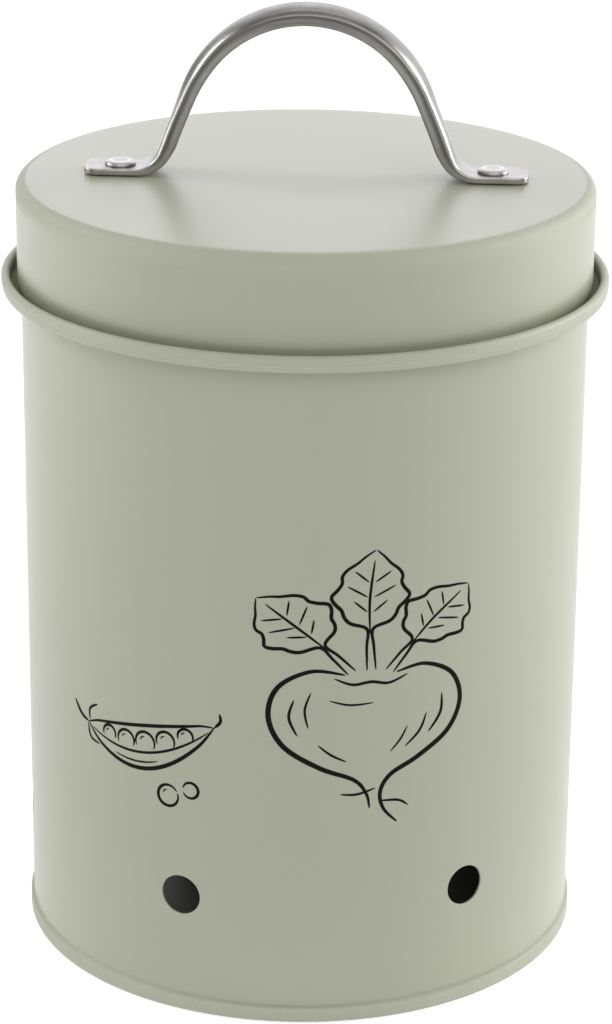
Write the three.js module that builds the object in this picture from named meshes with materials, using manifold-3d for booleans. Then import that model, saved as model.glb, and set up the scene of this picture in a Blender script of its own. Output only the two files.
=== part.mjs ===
// A round kitchen keeper in coated sheet steel, with vents in the wall, a lid that lifts off and a strap
// handle riveted to the lid. Millimetres, +Z up. The origin is the centre of the ring that the keeper
// stands on, and the front, midway between two vents, faces -Y.

import * as THREE from 'three';
import { mergeVertices } from 'three/addons/utils/BufferGeometryUtils.js';
import Module from 'manifold-3d';

const wasm = await Module();
wasm.setup();

// Canister wall, rolled from sheet
const wallRadius = 58;
const wallSheet = 0.5;
const rimTopHeight = 142.9;

// Gutter and hemmed rim at the top of the wall, round the skirt of the lid
const gutterDepth = 3;
const gutterWidth = 1.5;
const gutterCoveRadius = 0.75;
const gutterCornerRadius = 0.55;
const rimLipWidth = 1.75;
const rimLipDrop = 3.2;
const rimTuckAngle = 50;
const rimTuckRadius = 0.5;

// Vents low in the wall
const ventCount = 6;
const ventDiameter = 8.5;
const ventHeight = 25.8;

// Side seam of the rolled wall, at the back
const seamWidth = 6;
const seamStep = 0.35;
const seamRoot = 0.25;

// Base, crimped round the foot of the wall
const baseSheet = 0.4;
const baseBandHeight = 3.5;
const baseRecess = 2.6;
const baseFoldRadius = 0.3;
const baseDishRadius = 0.8;

// Collar that the lid slips over
const neckSheet = 0.5;
const neckRise = 12;
const neckDepth = 17;
const neckFoldRadius = 0.45;
const neckFoldDepth = 3;

// Lid, turned on its collar by some degrees
const lidSheet = 0.5;
const lidDepth = 21.6;
const lidShoulderRadius = 1.9;
const lidFoldRadius = 0.4;
const lidFoldHeight = 4;
const lidTurn = -8.5;

// Handle
const handleWidth = 9.2;
const handleSheet = 1.3;
const handleRise = 35.4;
const archRadius = 27;
const archDepth = 3.3;
const archCrown = 0.35;
const archEdgeRadius = 1.5;
const legLean = 19.5;
const bendRadius = 5;
const footLength = 10.35;
const footCornerRadius = 2.6;
const footEdgeRadius = 0.3;
const foldFadeLength = 9.5;
const hollowRunOut = 0.4;

// Rivets
const rivetSetOut = 3.15;
const rivetHeadDiameter = 6.3;
const rivetHeadHeight = 0.9;
const rivetFlatDiameter = 3.4;
const rivetShankDiameter = 3;
const rivetTailDiameter = 5;
const rivetTailHeight = 0.8;
const rivetRimShare = 0.35;
const rivetFlareShare = 0.8;
const rivetHollowShare = 0.6;

// Clearances
const seatGap = 0.3;
const bandGap = 0.25;
const lidFitGap = 0.3;
const rivetGap = 0.2;
const cutOverrun = 2;

// Facets
const ringSegments = 60;
const holeSegments = 24;
const seamSteps = 4;
const degreesPerStep = 30;
const cornerSteps = 4;
const bendSteps = 6;
const legSteps = 5;
const archSteps = 12;
const edgeSteps = 3;
const headSteps = 3;

// Finishes
const coat = { color: 0xb5b8a5, roughness: 0.45, metalness: 0 };
const steel = { color: 0xa8a7a3, roughness: 0.3, metalness: 1 };
const aluminium = { color: 0xd9d9d7, roughness: 0.35, metalness: 1 };

const radians = THREE.MathUtils.degToRad;

// A closed geometry becomes a solid that can be joined and cut.
function solidOf(geometry) {
  const bare = geometry.clone();
  bare.deleteAttribute('normal');
  bare.deleteAttribute('uv');
  const merged = mergeVertices(bare);
  const corners = [];
  for (let i = 0; i < merged.index.count; i += 3) {
    const [a, b, c] = [0, 1, 2].map((k) => merged.index.getX(i + k));
    if (a !== b && b !== c && c !== a) {
      corners.push(a, b, c);
    }
  }
  return new wasm.Manifold(new wasm.Mesh({
    numProp: 3,
    vertProperties: new Float32Array(merged.attributes.position.array),
    triVerts: new Uint32Array(corners),
  }));
}

// A solid goes back to a geometry with flat faces.
function geometryOf(solid) {
  const mesh = solid.getMesh();
  const geometry = new THREE.BufferGeometry();
  geometry.setAttribute('position', new THREE.BufferAttribute(mesh.vertProperties, 3));
  geometry.setIndex(new THREE.BufferAttribute(mesh.triVerts, 1));
  const faceted = geometry.toNonIndexed();
  faceted.computeVertexNormals();
  return faceted;
}

// The middle line of a bent sheet in the plane of radius and height, drawn run by run. A turn is in
// degrees, to the left where it is positive.
class SheetLine {
  constructor(radius, height, heading) {
    this.place = new THREE.Vector2(radius, height);
    this.heading = radians(heading);
    this.stations = [];
    this.note();
  }

  note() {
    const normal = new THREE.Vector2(-Math.sin(this.heading), Math.cos(this.heading));
    this.stations.push({ place: this.place.clone(), normal });
  }

  run(length) {
    this.place.x += length * Math.cos(this.heading);
    this.place.y += length * Math.sin(this.heading);
    this.note();
    return this;
  }

  turn(radius, angle) {
    const steps = Math.max(2, Math.ceil(Math.abs(angle) / degreesPerStep));
    const side = Math.sign(angle);
    const centre = new THREE.Vector2(
      this.place.x - side * radius * Math.sin(this.heading),
      this.place.y + side * radius * Math.cos(this.heading),
    );
    for (let i = 0; i < steps; i += 1) {
      this.heading += radians(angle) / steps;
      this.place.set(
        centre.x + side * radius * Math.sin(this.heading),
        centre.y - side * radius * Math.cos(this.heading),
      );
      this.note();
    }
    return this;
  }

  // Both faces of the sheet as one outline that closes on itself
  outline(sheet) {
    const offset = (side) => ({ place, normal }) => place.clone().addScaledVector(normal, side * sheet / 2);
    const left = this.stations.map(offset(1));
    const right = this.stations.map(offset(-1));
    return [...left, ...right.reverse()];
  }
}

// An outline of radius and height is turned round the axis.
function turned(outline, segments) {
  const points = THREE.ShapeUtils.area(outline) < 0 ? [...outline].reverse() : outline;
  const onAxis = points.some((point) => Math.abs(point.x) < Number.EPSILON);
  const closed = onAxis ? fromAxis(points) : [...points, points[0].clone()];
  return new THREE.LatheGeometry(closed, segments).rotateX(Math.PI / 2);
}

// An outline with an edge on the axis is opened there, so that it starts and ends on the axis.
function fromAxis(points) {
  const count = points.length;
  const axial = (index) => Math.abs(points[(index + count) % count].x) < Number.EPSILON;
  const start = points.findIndex((point, index) => axial(index) && axial(index - 1));
  return [...points.slice(start), ...points.slice(0, start)];
}

function node(name, solid, finish) {
  const mesh = new THREE.Mesh(geometryOf(solid), new THREE.MeshStandardMaterial(finish));
  mesh.name = name;
  return mesh;
}

// Radii and heights that neighbours share

const wallInnerRadius = wallRadius - wallSheet;
const wallFootHeight = baseSheet + seatGap;
const neckRadius = wallInnerRadius - seatGap;
const lidRadius = neckRadius + lidFitGap + lidSheet + 2 * lidFoldRadius;
const lipInnerRadius = lidRadius + gutterWidth;
const baseRadius = wallRadius + bandGap + baseSheet;
const gutterFloorHeight = rimTopHeight - gutterDepth;
const lidFootHeight = gutterFloorHeight + seatGap;
const lidTopHeight = lidFootHeight + lidDepth;
const lidUnderHeight = lidTopHeight - lidSheet;

// Strap line of the handle: leg and arch meet at the leg's lean, and the bend leads the leg into the foot

const footLowHeight = lidTopHeight + rivetGap;
const footTopHeight = footLowHeight + handleSheet;
const strapHalfWidth = handleWidth / 2;
const upright = Math.PI / 2;
const lean = radians(legLean);
const archCentre = new THREE.Vector2(0, lidTopHeight + handleRise - archRadius);
const legTop = along(archCentre, archRadius, lean);
const legLowReach = legTop.x + (legTop.y - footTopHeight) * Math.tan(lean);
const bendReach = bendRadius * Math.tan((upright - lean) / 2);
const bendCentre = new THREE.Vector2(legLowReach + bendReach, footTopHeight + bendRadius);
const rivetReach = bendCentre.x + rivetSetOut;

function along(centre, distance, angle) {
  return new THREE.Vector2(centre.x + distance * Math.cos(angle), centre.y + distance * Math.sin(angle));
}

// The hole for a rivet's shank, through a sheet between two heights
function rivetHole(side, low, high) {
  const radius = rivetShankDiameter / 2 + rivetGap;
  const length = high - low + 2 * cutOverrun;
  const cylinder = new THREE.CylinderGeometry(radius, radius, length, holeSegments);
  return solidOf(cylinder.rotateX(upright).translate(side * rivetReach, 0, (low + high) / 2));
}

// Wall

function wallOutline() {
  const middle = wallRadius - wallSheet / 2;
  const floorMiddle = gutterFloorHeight - wallSheet / 2;
  const lipMiddle = lipInnerRadius + wallSheet / 2;
  const overRadius = (rimLipWidth - wallSheet) / 2;
  const riseTop = rimTopHeight - wallSheet / 2 - overRadius;
  const tuck = radians(rimTuckAngle);
  const tuckDrop = rimTuckRadius * Math.sin(tuck) + wallSheet / 2 * Math.cos(tuck);
  return new SheetLine(middle, wallFootHeight, 90)
    .run(floorMiddle - gutterCoveRadius - wallFootHeight)
    .turn(gutterCoveRadius, -90)
    .run(lipMiddle - gutterCornerRadius - middle - gutterCoveRadius)
    .turn(gutterCornerRadius, 90)
    .run(riseTop - floorMiddle - gutterCornerRadius)
    .turn(overRadius, -180)
    .run(riseTop - (rimTopHeight - rimLipDrop) - tuckDrop)
    .turn(rimTuckRadius, -rimTuckAngle)
    .outline(wallSheet);
}

function sideSeam() {
  const low = baseBandHeight + seatGap;
  const high = gutterFloorHeight - wallSheet - gutterCoveRadius - seatGap;
  const outer = wallRadius + seamStep;
  const inner = wallRadius - seamRoot;
  const reach = seamWidth / 2 / wallRadius;
  const strip = new THREE.Shape();
  strip.absarc(0, 0, outer, upright - reach, upright + reach, false);
  strip.absarc(0, 0, inner, upright + reach, upright - reach, true);
  const settings = { depth: high - low, bevelEnabled: false, curveSegments: seamSteps };
  return new THREE.ExtrudeGeometry(strip, settings).translate(0, 0, low);
}

function ventCutter(index) {
  const depth = 2 * cutOverrun + wallSheet;
  const cutter = new THREE.CylinderGeometry(ventDiameter / 2, ventDiameter / 2, depth, holeSegments);
  const angle = (index + 1 / 2) * 2 * Math.PI / ventCount;
  return cutter.translate(0, -wallRadius + wallSheet / 2, ventHeight).rotateZ(angle);
}

function wallSolid() {
  let solid = solidOf(turned(wallOutline(), ringSegments)).add(solidOf(sideSeam()));
  for (let index = 0; index < ventCount; index += 1) {
    solid = solid.subtract(solidOf(ventCutter(index)));
  }
  return solid;
}

// Base

function baseSolid() {
  const innerMiddle = wallInnerRadius - seatGap - baseSheet / 2;
  const outerMiddle = baseRadius - baseSheet / 2;
  const low = baseSheet / 2;
  const discMiddle = baseRecess + baseSheet / 2;
  const outline = new SheetLine(0, discMiddle, 0)
    .run(innerMiddle - baseDishRadius)
    .turn(baseDishRadius, -90)
    .run(discMiddle - baseDishRadius - low - baseFoldRadius)
    .turn(baseFoldRadius, 90)
    .run(outerMiddle - innerMiddle - 2 * baseFoldRadius)
    .turn(baseFoldRadius, 90)
    .run(baseBandHeight - low - baseFoldRadius)
    .outline(baseSheet);
  return solidOf(turned(outline, ringSegments));
}

// Collar

function neckSolid() {
  const neckTopHeight = rimTopHeight + neckRise;
  const middle = neckRadius - neckSheet / 2;
  const low = rimTopHeight - neckDepth;
  const foldMiddle = neckTopHeight - neckSheet / 2 - neckFoldRadius;
  const outline = new SheetLine(middle, low, 90)
    .run(foldMiddle - low)
    .turn(neckFoldRadius, 180)
    .run(neckFoldDepth - neckFoldRadius - neckSheet / 2)
    .outline(neckSheet);
  return solidOf(turned(outline, ringSegments));
}

// Lid

function lidSolid() {
  const middle = lidRadius - lidSheet / 2;
  const topMiddle = lidTopHeight - lidSheet / 2;
  const foldMiddle = lidFootHeight + lidSheet / 2 + lidFoldRadius;
  const outline = new SheetLine(0, topMiddle, 0)
    .run(middle - lidShoulderRadius)
    .turn(lidShoulderRadius, -90)
    .run(topMiddle - lidShoulderRadius - foldMiddle)
    .turn(lidFoldRadius, -180)
    .run(lidFoldHeight - lidFoldRadius - lidSheet / 2)
    .outline(lidSheet);
  let solid = solidOf(turned(outline, ringSegments));
  for (const side of [-1, 1]) {
    solid = solid.subtract(rivetHole(side, lidUnderHeight, lidTopHeight));
  }
  return solid;
}

// Handle

// The upper face of the strap from its right end to the middle of the arch. Each station has its place in
// the plane of X and height, the angle that the face looks in, how far the foot's rounded corner draws the
// edges in, and how much of the fold along the edges is there.
function strapHalf() {
  const stations = [];
  for (let i = 0; i <= cornerSteps; i += 1) {
    const angle = i / cornerSteps * upright;
    const reach = bendCentre.x + footLength - footCornerRadius * (1 - Math.cos(angle));
    const inset = footCornerRadius * (1 - Math.sin(angle));
    stations.push({ place: new THREE.Vector2(reach, footTopHeight), facing: upright, inset, fold: 0 });
  }
  for (let i = 0; i <= bendSteps; i += 1) {
    const facing = upright + i / bendSteps * (lean - upright);
    const fold = foldAt(bendRadius * (upright - facing));
    stations.push({ place: along(bendCentre, -bendRadius, facing), facing, inset: 0, fold });
  }
  const bendLength = bendRadius * (upright - lean);
  const legLow = stations[stations.length - 1].place.clone();
  for (let i = 1; i < legSteps; i += 1) {
    const place = legLow.clone().lerp(legTop, i / legSteps);
    stations.push({ place, facing: lean, inset: 0, fold: foldAt(bendLength + place.distanceTo(legLow)) });
  }
  for (let i = 0; i <= archSteps; i += 1) {
    const facing = lean + i / archSteps * (upright - lean);
    stations.push({ place: along(archCentre, archRadius, facing), facing, inset: 0, fold: 1 });
  }
  return stations;
}

// The fold along the edges grows from nothing at the foot to its full depth on the leg.
function foldAt(walked) {
  return THREE.MathUtils.smoothstep(walked, 0, foldFadeLength);
}

function mirrored({ place, facing, inset, fold }) {
  return { place: new THREE.Vector2(-place.x, place.y), facing: Math.PI - facing, inset, fold };
}

function strapStations() {
  const right = strapHalf();
  return [...right, ...right.slice(0, -1).reverse().map(mirrored)];
}

// The outside of the strap across its width: pairs of sideways place and depth below the upper face
function strapSection({ inset, fold }) {
  const half = strapHalfWidth - inset;
  const depth = THREE.MathUtils.lerp(handleSheet, archDepth, fold);
  const edge = THREE.MathUtils.lerp(footEdgeRadius, archEdgeRadius, fold);
  const crown = archCrown * fold;
  const side = [[half, depth]];
  for (let i = 0; i <= edgeSteps; i += 1) {
    const angle = i / edgeSteps * upright;
    side.push([half - edge * (1 - Math.cos(angle)), crown + edge * (1 - Math.sin(angle))]);
  }
  side.push([(half - edge) / 2, crown / 4]);
  const other = side.map(([across, below]) => [-across, below]).reverse();
  return [...side, [0, 0], ...other];
}

// The hollow under the strap. It runs out through the underside where the fold fades.
function hollowSection({ fold }) {
  const half = strapHalfWidth - handleSheet;
  const roof = handleSheet + archCrown * fold + hollowRunOut * (1 - fold);
  const floor = THREE.MathUtils.lerp(handleSheet, archDepth, fold) + cutOverrun;
  return [[half, floor], [half, roof], [-half, roof], [-half, floor]];
}

// Rings of points, one at each station, joined into a closed body
function swept(stations, sectionOf) {
  const positions = [];
  const corners = [];
  const sections = stations.map(sectionOf);
  const count = sections[0].length;
  stations.forEach(({ place, facing }, index) => {
    for (const [across, below] of sections[index]) {
      const spot = along(place, -below, facing);
      positions.push(spot.x, across, spot.y);
    }
  });
  for (let ring = 0; ring < stations.length - 1; ring += 1) {
    for (let i = 0; i < count; i += 1) {
      const next = (i + 1) % count;
      const [a, b] = [ring * count + i, ring * count + next];
      corners.push(a, b + count, b, a, a + count, b + count);
    }
  }
  const last = (stations.length - 1) * count;
  for (let i = 1; i < count - 1; i += 1) {
    corners.push(0, i, i + 1, last, last + i + 1, last + i);
  }
  const geometry = new THREE.BufferGeometry();
  geometry.setAttribute('position', new THREE.Float32BufferAttribute(positions, 3));
  geometry.setIndex(corners);
  return geometry;
}

function handleSolid() {
  const stations = strapStations();
  const folded = stations.slice(cornerSteps + 1, stations.length - cornerSteps - 1);
  let solid = solidOf(swept(stations, strapSection)).subtract(solidOf(swept(folded, hollowSection)));
  for (const side of [-1, 1]) {
    solid = solid.subtract(rivetHole(side, footLowHeight, footTopHeight));
  }
  return solid;
}

// Rivets

function rivetSolid() {
  const headLow = footTopHeight + rivetGap;
  const headRim = rivetHeadHeight * rivetRimShare;
  const flat = rivetFlatDiameter / 2;
  const tailTop = lidUnderHeight - rivetGap;
  const tailLow = tailTop - rivetTailHeight;
  const tailRadius = rivetTailDiameter / 2;
  const shankRadius = rivetShankDiameter / 2;
  const points = [new THREE.Vector2(0, headLow + rivetHeadHeight)];
  for (let i = 0; i <= headSteps; i += 1) {
    const angle = i / headSteps * upright;
    const radius = flat + (rivetHeadDiameter / 2 - flat) * Math.sin(angle);
    const rise = headRim + (rivetHeadHeight - headRim) * Math.cos(angle);
    points.push(new THREE.Vector2(radius, headLow + rise));
  }
  points.push(
    new THREE.Vector2(rivetHeadDiameter / 2, headLow),
    new THREE.Vector2(shankRadius, headLow),
    new THREE.Vector2(shankRadius, tailTop),
    new THREE.Vector2(tailRadius, tailTop),
    new THREE.Vector2(tailRadius * rivetFlareShare, tailLow),
    new THREE.Vector2(shankRadius * rivetHollowShare, tailLow),
    new THREE.Vector2(0, tailTop),
  );
  return solidOf(turned(points, holeSegments));
}

// Assembly

const canister = new THREE.Group();
canister.add(node('body_wall', wallSolid(), coat));
canister.add(node('base_plate', baseSolid(), coat));
canister.add(node('neck_ring', neckSolid(), coat));

const lid = new THREE.Group();
lid.rotation.z = radians(lidTurn);
lid.add(node('lid_shell', lidSolid(), coat));
lid.add(node('handle', handleSolid(), steel));
for (const [name, side] of [['handle_rivet_left', -1], ['handle_rivet_right', 1]]) {
  const rivet = node(name, rivetSolid(), aluminium);
  rivet.position.x = side * rivetReach;
  lid.add(rivet);
}

const group = new THREE.Group();
group.add(canister, lid);

export default group;
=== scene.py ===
# The looks of a round kitchen keeper: powder-coated sheet steel, a brushed strap handle on pressed rivets,
# and a line drawing printed on the wall. +Z is up and the front faces -Y. The sizes below are in
# millimetres, as in the CAD source, and every mesh is made in metres.

import math

import bpy
from mathutils import Matrix, Vector


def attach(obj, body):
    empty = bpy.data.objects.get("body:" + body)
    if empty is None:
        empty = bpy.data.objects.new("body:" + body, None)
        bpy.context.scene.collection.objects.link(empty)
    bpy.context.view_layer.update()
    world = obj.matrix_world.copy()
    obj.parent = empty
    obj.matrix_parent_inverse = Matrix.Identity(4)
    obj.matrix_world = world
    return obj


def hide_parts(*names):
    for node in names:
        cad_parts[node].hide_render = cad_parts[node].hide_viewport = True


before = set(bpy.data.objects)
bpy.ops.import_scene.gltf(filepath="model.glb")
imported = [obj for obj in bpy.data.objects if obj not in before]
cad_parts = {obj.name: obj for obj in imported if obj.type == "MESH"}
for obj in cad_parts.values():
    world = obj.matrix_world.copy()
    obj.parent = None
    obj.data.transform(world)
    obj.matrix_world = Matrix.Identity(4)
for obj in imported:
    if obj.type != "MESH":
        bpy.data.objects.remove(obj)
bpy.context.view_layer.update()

MM = 0.001

# Wall, gutter and rim
WALL_RADIUS = 58.0
WALL_SHEET = 0.5
WALL_FOOT = 0.7
RIM_TOP = 142.9
GUTTER_FLOOR = 139.9
GUTTER_COVE = 0.75
GUTTER_CORNER = 0.55
LIP_INNER = 60.3
RIM_LIP_WIDTH = 1.75
RIM_LIP_DROP = 3.2
RIM_TUCK_ANGLE = 50.0
RIM_TUCK_RADIUS = 0.5
RIM_FACE = 1.0
RIM_FACE_BEND = 0.6
RIM_FACE_COVE = 0.35
RIM_FACE_ANGLE = 35.0
VENT_COUNT = 6
VENT_DIAMETER = 8.5
VENT_HEIGHT = 25.8
VENT_EDGE = 0.14
SEAM_WIDTH = 6.0
SEAM_STEP = 0.35
SEAM_SINK = -0.2
SEAM_END = 0.3
SEAM_LOW = 3.8
SEAM_HIGH = 138.35

# Base and collar
BASE_SHEET = 0.4
BASE_RADIUS = 58.65
BASE_BAND = 3.5
BASE_RECESS = 2.6
BASE_WALL = 57.2
BASE_FOLD = 0.3
BASE_DISH = 0.8
BASE_CLOSE_RADIUS = 0.25
BASE_CLOSE_ANGLE = 60.0
BASE_CLOSE_RUN = 0.5
NECK_SHEET = 0.5
NECK_RADIUS = 57.2
NECK_LOW = 125.9
NECK_TOP = 154.9
NECK_FOLD = 0.45
NECK_FOLD_DEPTH = 3.0

# Lid
LID_RADIUS = 58.8
LID_SHEET = 0.5
LID_FOOT = 140.2
LID_TOP = 161.8
LID_SHOULDER = 1.9
LID_FOLD = 0.4
LID_FOLD_HEIGHT = 4.0
LID_TURN = -8.5

# Strap handle and rivets
STRAP_WIDTH = 9.2
STRAP_SHEET = 1.3
STRAP_SEAT = 162.0
STRAP_LIP = 0.25
STRAP_COVE = 0.3
HANDLE_TOP = 197.2
ARCH_RADIUS = 27.0
ARCH_DEPTH = 3.15
ARCH_SWELL = 0.75
ARCH_CROWN = 1.05
ARCH_EDGE = 1.2
LEG_LEAN = 19.5
BEND_RADIUS = 5.0
FOOT_LENGTH = 10.35
FOOT_CORNER = 2.6
FOOT_EDGE = 0.3
FOLD_FADE = 9.5
CROWN_FADE = 18.0
RIVET_SET_OUT = 3.15
RIVET_HEAD = 6.3
RIVET_HEAD_HEIGHT = 0.9
RIVET_FLAT = 3.4
RIVET_DISH = 0.04
RIVET_RIM = 0.32
RIVET_EDGE = 0.06
RIVET_SHANK = 3.0
RIVET_TAIL = 5.0
RIVET_TAIL_HEIGHT = 0.8
RIVET_TAIL_EDGE = 0.25
RIVET_GAP = 0.2
RIVET_SEAT_GAP = 0.05

# Polish and painted light of the strap, where 1 is full polish with the brightest painted highlight and below
# zero is painted shade
FOOT_POLISH_AND_HIGHLIGHT = 0.55
FLANGE_PAINTED_HIGHLIGHT = 0.4
FLANGE_PAINTED_SHADE = 0.12
SHOULDER_PAINTED_SHADE = 0.18
CREASE_PAINTED_SHADE = -0.7

# Printed drawing, with the angle from the front and the height of each part's middle
ROOT_ANGLE, ROOT_HEIGHT = 8.0, 67.0
ROOT_STRETCH, ROOT_SQUASH = 1.2, 0.9
POD_ANGLE, POD_HEIGHT = -38.0, 57.0
POD_LENGTH, POD_SAG, POD_TILT = 31.0, 15.4, 6.0
PEN_POINT = 0.22

# Facets, and how near two places are the same
STEPS_ROUND = 288
RIVET_STEPS = 72
RIVET_CORE = 0.2
PEN_SIDES = 8
BEND_STEP = 9.0
BEND_STEPS = 40
ARCH_STEPS = 90
ROW_STEP = 0.6
PATCH_COLUMNS = 12
VENT_RINGS = (0.72, 0.45, 0.25, 0.1, 0.03)
SAME_FACE = 1e-4
SAME_ROW = 1e-6
WELD = 0.002
CREASE = math.radians(38)


# Node trees

FLOAT = "NodeSocketFloat"
INTEGER = "NodeSocketInt"
GEOMETRY = ("NodeSocketGeometry", None)
PLACE = {"Place": ("NodeSocketVector", None)}


def spaced(inputs):
    """Inputs given as keywords, with the spaces back in their names."""
    return {label.replace("_", " "): value for label, value in inputs.items()}


class Nodes:
    """A node tree that is built node by node."""

    def __init__(self, tree):
        self.tree = tree

    def add(self, kind, inputs, **settings):
        """The outputs of a new node. Each input is a socket to link from or a plain value."""
        node = self.tree.nodes.new(kind)
        for key, value in settings.items():
            setattr(node, key, value)
        for key, value in inputs.items():
            if isinstance(value, bpy.types.NodeSocket):
                self.tree.links.new(value, node.inputs[key])
            else:
                node.inputs[key].default_value = value
        return node.outputs

    def math(self, operation, *values, **settings):
        return self.add("ShaderNodeMath", dict(enumerate(values)), operation=operation, **settings)[0]

    def vector_math(self, operation, *values):
        inputs = dict(enumerate(values))
        return self.add("ShaderNodeVectorMath", inputs, operation=operation)["Vector"]

    def scaled(self, vector, scale):
        inputs = {0: vector, "Scale": scale}
        return self.add("ShaderNodeVectorMath", inputs, operation="SCALE")["Vector"]

    def combined(self, **parts):
        return self.add("ShaderNodeCombineXYZ", parts)["Vector"]

    def use(self, group, **inputs):
        """The one output of a group."""
        return self.add("ShaderNodeGroup", spaced(inputs), node_tree=group)[0]


class Group(Nodes):
    """A node group with named inputs and one named output."""

    def __init__(self, name, kind, inputs, output):
        super().__init__(bpy.data.node_groups.new(name, kind))
        for way, sockets in (("INPUT", inputs), ("OUTPUT", output)):
            for label, (socket_type, value) in sockets.items():
                socket = self.tree.interface.new_socket(name=label, in_out=way, socket_type=socket_type)
                if value is not None:
                    socket.default_value = value
        self.given = self.tree.nodes.new("NodeGroupInput").outputs
        self.result = self.tree.nodes.new("NodeGroupOutput").inputs[0]

    def shaped(self, kind, geometry, inputs=None, **settings):
        """The geometry that a node makes of the given one."""
        inputs = {"Geometry": geometry, **(inputs or {})}
        return self.add("GeometryNode" + kind, inputs, **settings)["Geometry"]

    def put_out(self, socket):
        """The whole group, with the socket joined to its one output."""
        self.tree.links.new(socket, self.result)
        return self.tree


def geometry_tree(name, inputs):
    sockets = {
        "Geometry": GEOMETRY,
        **inputs,
        "Crease": (FLOAT, CREASE),
        "Finish": ("NodeSocketMaterial", None),
    }
    return Group(name, "GeometryNodeTree", sockets, {"Geometry": GEOMETRY})


def finish_tree(tree, geometry):
    """The last steps of every tree: instances are realised, tight angles creased, and the finish set."""
    real = tree.shaped("RealizeInstances", geometry)
    smooth = tree.shaped("SetShadeSmooth", tree.shaped("MergeByDistance", real, {"Distance": WELD * MM}))
    angle = tree.add("GeometryNodeInputMeshEdgeAngle", {})["Unsigned Angle"]
    tight = tree.math("GREATER_THAN", angle, tree.given["Crease"])
    sharp = {"Selection": tight, "Shade Smooth": False}
    creased = tree.shaped("SetShadeSmooth", smooth, sharp, domain="EDGE")
    return tree.put_out(tree.shaped("SetMaterial", creased, {"Material": tree.given["Finish"]}))


def length(value):
    return (FLOAT, value * MM)


def turned_tree():
    """A profile of radius and height, turned round the axis."""
    tree = geometry_tree("turned_profile", {
        "Steps round": (INTEGER, STEPS_ROUND),
        "Core radius": length(1),
    })
    core_radius = tree.given["Core radius"]
    profile = tree.add("GeometryNodeMeshToCurve", {"Mesh": tree.given["Geometry"]})["Curve"]
    shift = tree.combined(X=tree.math("SUBTRACT", 0.0, core_radius))
    centred = tree.shaped("Transform", profile, {"Translation": shift})
    flipped = tree.shaped("Transform", centred, {"Scale": (1, -1, 1)})
    core = tree.add("GeometryNodeCurvePrimitiveCircle", {
        "Resolution": tree.given["Steps round"],
        "Radius": core_radius,
    })["Curve"]
    shell = tree.add("GeometryNodeCurveToMesh", {"Curve": core, "Profile Curve": flipped})["Mesh"]
    return finish_tree(tree, shell)


def panel_tree():
    """One panel of the wall, with its vent, repeated round the axis and welded into a ring."""
    tree = geometry_tree("ring_of_panels", {"Panels": (INTEGER, VENT_COUNT)})
    count = tree.given["Panels"]
    places = tree.add("GeometryNodePoints", {"Count": count})[0]
    index = tree.add("GeometryNodeInputIndex", {})["Index"]
    half_on = tree.math("ADD", index, 0.5)
    pitch = tree.math("DIVIDE", math.tau, count)
    ring = tree.add("GeometryNodeInstanceOnPoints", {
        "Points": places,
        "Instance": tree.given["Geometry"],
        "Rotation": tree.combined(Z=tree.math("MULTIPLY", half_on, pitch)),
    })["Instances"]
    return finish_tree(tree, ring)


def strap_tree():
    """A flat blank, bent along the strap line. The blank's Y is the way along it, and its Z is its depth."""
    tree = geometry_tree("bent_strap", {
        "Strap line": ("NodeSocketObject", None),
        "Turn": (FLOAT, math.radians(LID_TURN)),
    })
    line = tree.add("GeometryNodeObjectInfo", {"Object": tree.given["Strap line"]})["Geometry"]
    curve = tree.add("GeometryNodeMeshToCurve", {"Mesh": line})["Curve"]
    place = tree.add("GeometryNodeInputPosition", {})["Position"]
    flat = tree.add("ShaderNodeSeparateXYZ", {"Vector": place})
    sample = tree.add("GeometryNodeSampleCurve", {"Curves": curve, "Length": flat["Y"]}, mode="LENGTH")
    facing = tree.vector_math("CROSS_PRODUCT", (0, 1, 0), sample["Tangent"])
    depth = tree.scaled(tree.vector_math("NORMALIZE", facing), flat["Z"])
    middle = tree.vector_math("ADD", sample["Position"], depth)
    spot = tree.vector_math("ADD", middle, tree.combined(Y=flat["X"]))
    bent = tree.shaped("SetPosition", tree.given["Geometry"], {"Position": spot})
    turn = tree.combined(Z=tree.given["Turn"])
    return finish_tree(tree, tree.shaped("Transform", bent, {"Rotation": turn}))


def rivet_tree(turned):
    """A rivet turned from its profile and set through both feet of the strap."""
    tree = geometry_tree("rivet_pair", {
        "Reach": length(37),
        "Turn": (FLOAT, math.radians(LID_TURN)),
        "Steps round": (INTEGER, RIVET_STEPS),
    })
    inputs = {label: tree.given[label] for label in ("Geometry", "Steps round", "Crease", "Finish")}
    inputs["Core radius"] = RIVET_CORE * MM
    rivet = tree.add("GeometryNodeGroup", inputs, node_tree=turned)["Geometry"]
    reach = tree.given["Reach"]
    places = tree.add("GeometryNodeMeshLine", {
        "Count": 2,
        "Start Location": tree.combined(X=reach),
        "Offset": tree.combined(X=tree.math("MULTIPLY", reach, -2.0)),
    })["Mesh"]
    pair = tree.add("GeometryNodeInstanceOnPoints", {"Points": places, "Instance": rivet})["Instances"]
    turn = tree.combined(Z=tree.given["Turn"])
    return finish_tree(tree, tree.shaped("Transform", pair, {"Rotation": turn}))


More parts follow.
